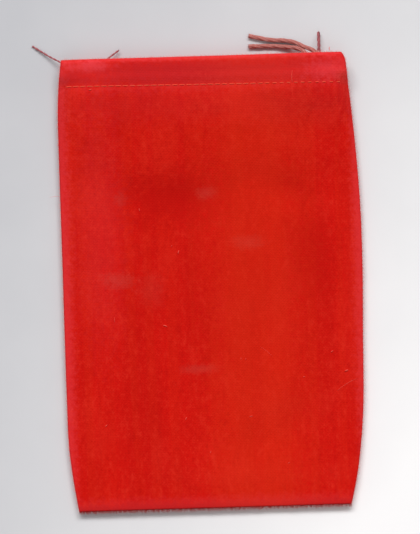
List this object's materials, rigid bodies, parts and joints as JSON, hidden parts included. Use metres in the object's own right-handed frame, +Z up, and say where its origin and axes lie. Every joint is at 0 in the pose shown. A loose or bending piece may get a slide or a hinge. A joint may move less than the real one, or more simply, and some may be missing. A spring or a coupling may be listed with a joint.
{
  "type": "kinchaku drawstring pouch",
  "caption": "Flat cotton flannel kinchaku pouch with a stitched casing round its mouth and a drawstring pulled out at each side.",
  "frame": {"origin": "on the resting plane, under the middle of the pouch lying flat on its back panel, cords left out", "axes": "+X across the pouch to the right as the picture shows it, +Y along the pouch towards its mouth, +Z up out of the front panel"},
  "size_m": [0.11, 0.1606, 0.0083],
  "materials": {
    "red_flannel": "soft napped cotton flannel",
    "thick_cord": "matt twisted cord",
    "thin_cord": "matt twisted cord",
    "hem_thread": "matt sewing thread",
    "seam_thread": "matt sewing thread"
  },
  "bodies": {
    "root": {"front_panel": "red_flannel", "back_panel": "red_flannel", "front_hem_thread": "hem_thread", "back_hem_thread": "hem_thread", "seam_thread": "seam_thread", "drawstring_right": "thick_cord", "drawstring_left": "thin_cord"}
  },
  "joints": []
}
